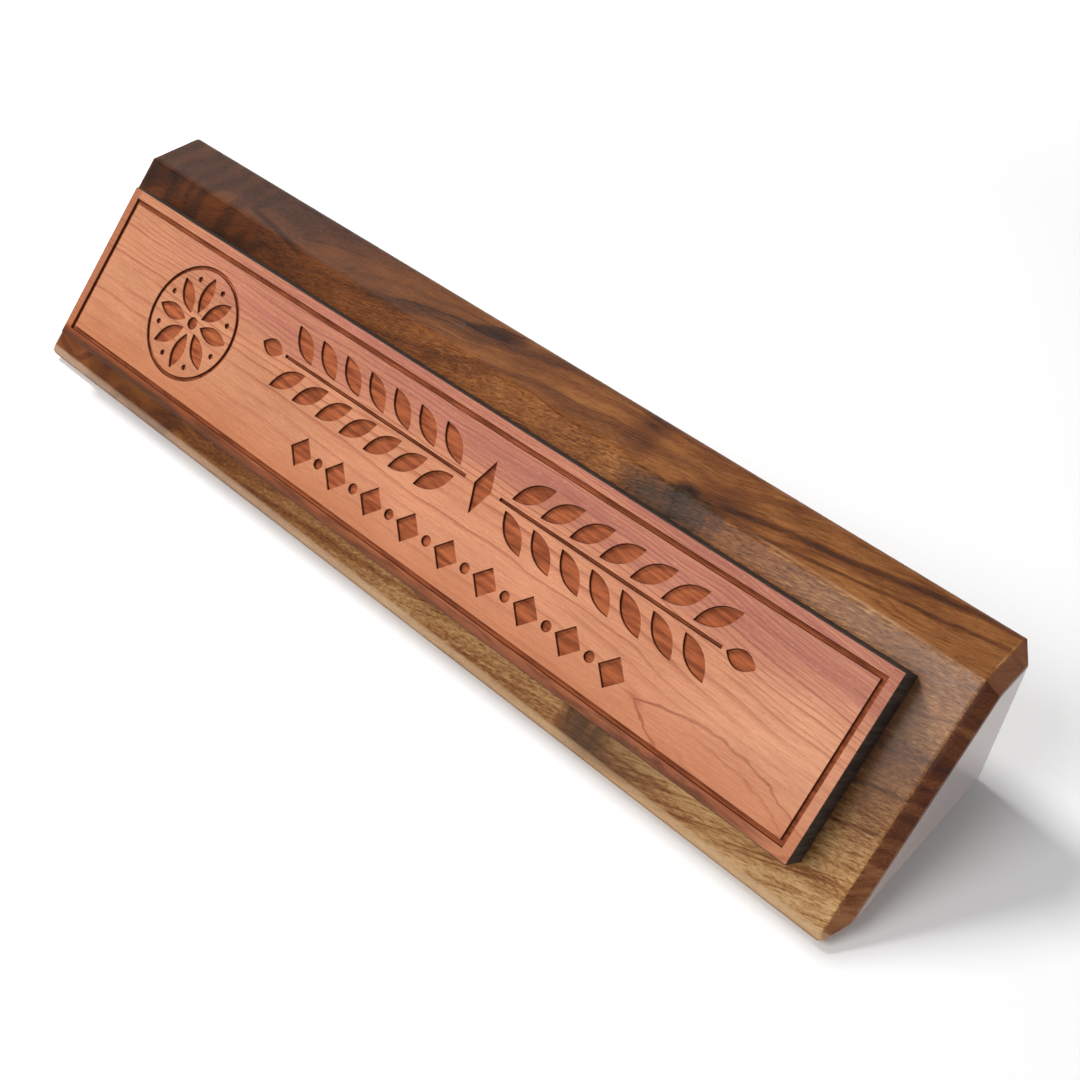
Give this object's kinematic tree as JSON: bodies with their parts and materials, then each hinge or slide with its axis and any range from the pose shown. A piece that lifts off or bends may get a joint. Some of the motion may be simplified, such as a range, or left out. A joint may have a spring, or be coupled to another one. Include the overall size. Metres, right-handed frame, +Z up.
{
  "type": "desk name plate",
  "caption": "Wooden wedge with a sloping front that carries a thick engraved wooden plate, to show a name on a desk.",
  "frame": {"origin": "middle of the whole outline at table level, on the soles of the bumpers", "axes": "+X along the length to the reader's right, +Y from the sloping front to the back, +Z up"},
  "size_m": [0.254, 0.057, 0.0466],
  "materials": {
    "walnut": "satin oil",
    "cherry": "smooth, laser scorched edges",
    "adhesive": "tacky film",
    "bumper": "matte"
  },
  "bodies": {
    "root": {"wedge_base": "walnut", "face_plate": "cherry", "adhesive_sheet": "adhesive", "foot_front_left": "bumper", "foot_front_right": "bumper", "foot_rear_left": "bumper", "foot_rear_right": "bumper"}
  },
  "joints": []
}
